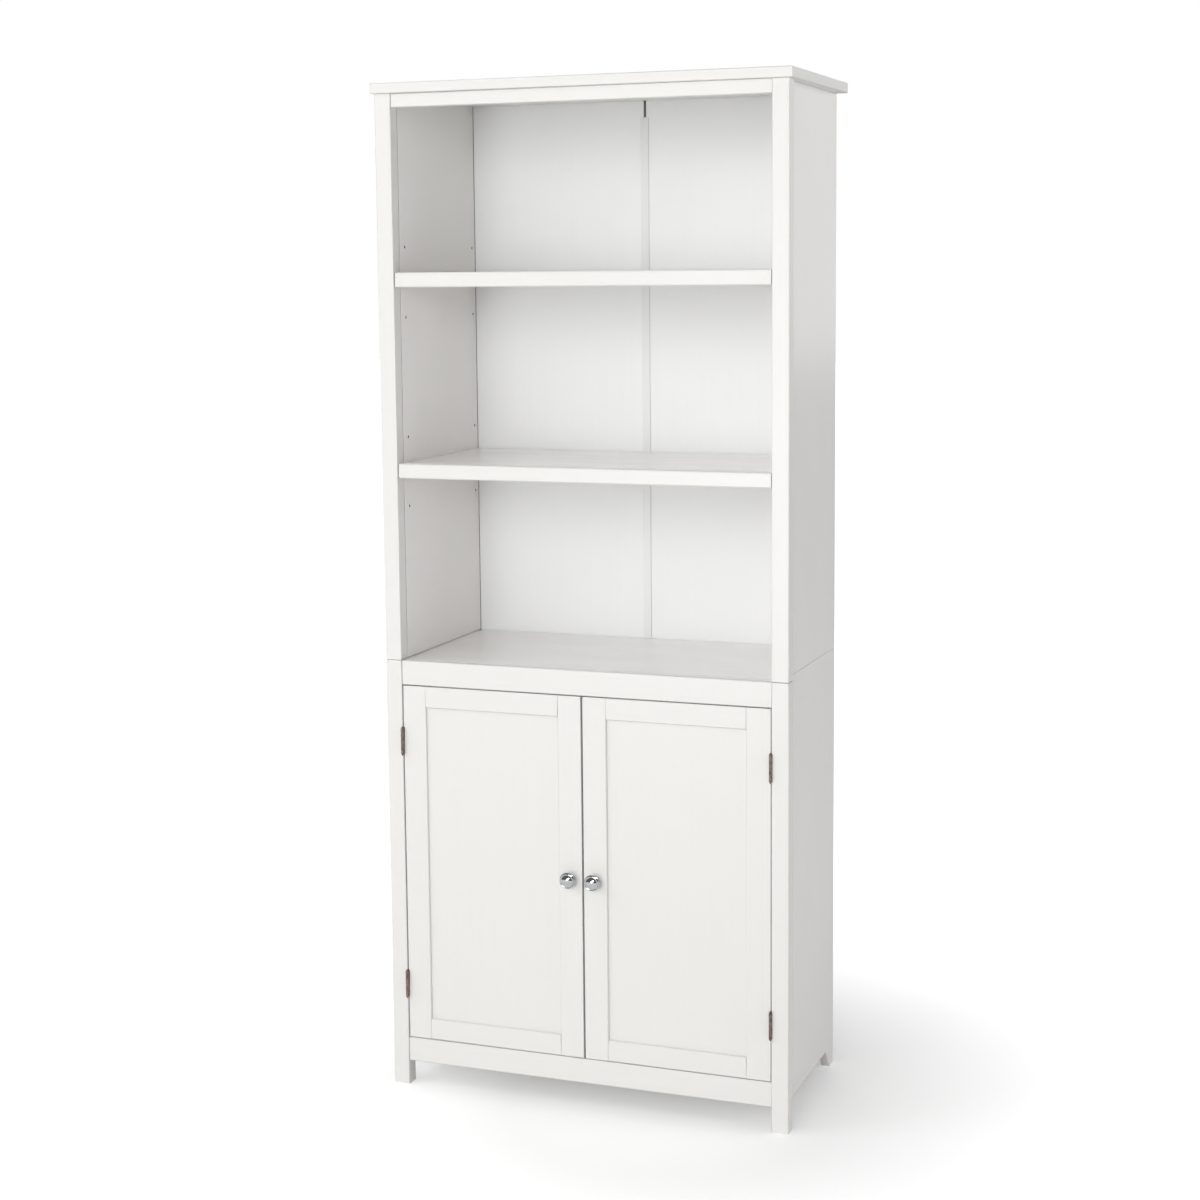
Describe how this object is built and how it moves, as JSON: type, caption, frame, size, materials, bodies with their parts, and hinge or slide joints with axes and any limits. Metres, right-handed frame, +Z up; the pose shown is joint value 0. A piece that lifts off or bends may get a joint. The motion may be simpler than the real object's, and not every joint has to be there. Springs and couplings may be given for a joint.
{
  "type": "bookcase with cabinet doors",
  "caption": "Tall white bookcase: an open upper unit with adjustable shelves on a cabinet with framed, hinged doors and round knobs.",
  "frame": {"origin": "centre of the footprint at floor level, the knobs counted in its depth", "axes": "+Z up, +X to the right seen from the front, +Y from the front to the wall"},
  "size_m": [0.758, 0.385, 1.8],
  "materials": {
    "white_paint": "satin white paint over board and solid wood",
    "white_hardboard": "smooth white-coated hardboard",
    "white_plastic": "satin",
    "chrome": "polished",
    "aged_nickel": "aged nickel plate on steel",
    "zinc_steel": "bright zinc plate on steel"
  },
  "bodies": {
    "carcass": {"top_board": "white_paint", "top_rail": "white_paint", "upper_side_panel_left": "white_paint", "upper_side_panel_right": "white_paint", "upper_post_left": "white_paint", "upper_post_right": "white_paint", "upper_back_panel_left": "white_hardboard", "upper_back_panel_right": "white_hardboard", "upper_back_strip": "white_plastic", "cabinet_top_rail": "white_paint", "cabinet_top_board": "white_paint", "cabinet_bottom_rail": "white_paint", "cabinet_bottom_board": "white_paint", "lower_side_panel_left": "white_paint", "lower_side_panel_right": "white_paint", "lower_post_left": "white_paint", "lower_post_right": "white_paint", "lower_back_panel": "white_hardboard", "magnetic_catch": "white_plastic", "shelf_upper_pin_front_left": "zinc_steel", "shelf_upper_pin_rear_left": "zinc_steel", "shelf_upper_pin_front_right": "zinc_steel", "shelf_upper_pin_rear_right": "zinc_steel", "shelf_lower_pin_front_left": "zinc_steel", "shelf_lower_pin_rear_left": "zinc_steel", "shelf_lower_pin_front_right": "zinc_steel", "shelf_lower_pin_rear_right": "zinc_steel", "cabinet_shelf_pin_front_left": "zinc_steel", "cabinet_shelf_pin_rear_left": "zinc_steel", "cabinet_shelf_pin_front_right": "zinc_steel", "cabinet_shelf_pin_rear_right": "zinc_steel", "hinge_lower_left_frame_leaf": "aged_nickel", "hinge_upper_left_frame_leaf": "aged_nickel", "hinge_lower_right_frame_leaf": "aged_nickel", "hinge_upper_right_frame_leaf": "aged_nickel"},
    "door_left": {"door_left_hinge_stile": "white_paint", "door_left_meeting_stile": "white_paint", "door_left_top_rail": "white_paint", "door_left_bottom_rail": "white_paint", "door_left_panel": "white_paint", "door_left_knob": "chrome", "door_left_knob_screw": "zinc_steel", "door_left_strike": "zinc_steel", "hinge_lower_left_door_leaf": "aged_nickel", "hinge_upper_left_door_leaf": "aged_nickel"},
    "door_right": {"door_right_hinge_stile": "white_paint", "door_right_meeting_stile": "white_paint", "door_right_top_rail": "white_paint", "door_right_bottom_rail": "white_paint", "door_right_panel": "white_paint", "door_right_knob": "chrome", "door_right_knob_screw": "zinc_steel", "door_right_strike": "zinc_steel", "hinge_lower_right_door_leaf": "aged_nickel", "hinge_upper_right_door_leaf": "aged_nickel"},
    "shelf_upper": {"shelf_upper_board": "white_paint", "shelf_upper_nosing": "white_paint"},
    "shelf_lower": {"shelf_lower_board": "white_paint", "shelf_lower_nosing": "white_paint"},
    "shelf_cabinet": {"cabinet_shelf": "white_paint"}
  },
  "joints": [
    {"name": "door_left_hinge", "type": "hinge", "parent": "carcass", "child": "door_left", "pos_m": [-0.34225, -0.1731, 0.41525], "axis": [0, 0, -1], "range_deg": [0, 170]},
    {"name": "door_right_hinge", "type": "hinge", "parent": "carcass", "child": "door_right", "pos_m": [0.34225, -0.1731, 0.41525], "axis": [0, 0, 1], "range_deg": [0, 170]},
    {"name": "shelf_upper_lift", "type": "slide", "parent": "carcass", "child": "shelf_upper", "axis": [0, 0, 1], "range_m": [0, 0.066]},
    {"name": "shelf_lower_lift", "type": "slide", "parent": "carcass", "child": "shelf_lower", "axis": [0, 0, 1], "range_m": [0, 0.066]},
    {"name": "shelf_cabinet_lift", "type": "slide", "parent": "carcass", "child": "shelf_cabinet", "axis": [0, 0, 1], "range_m": [0, 0.066]}
  ]
}
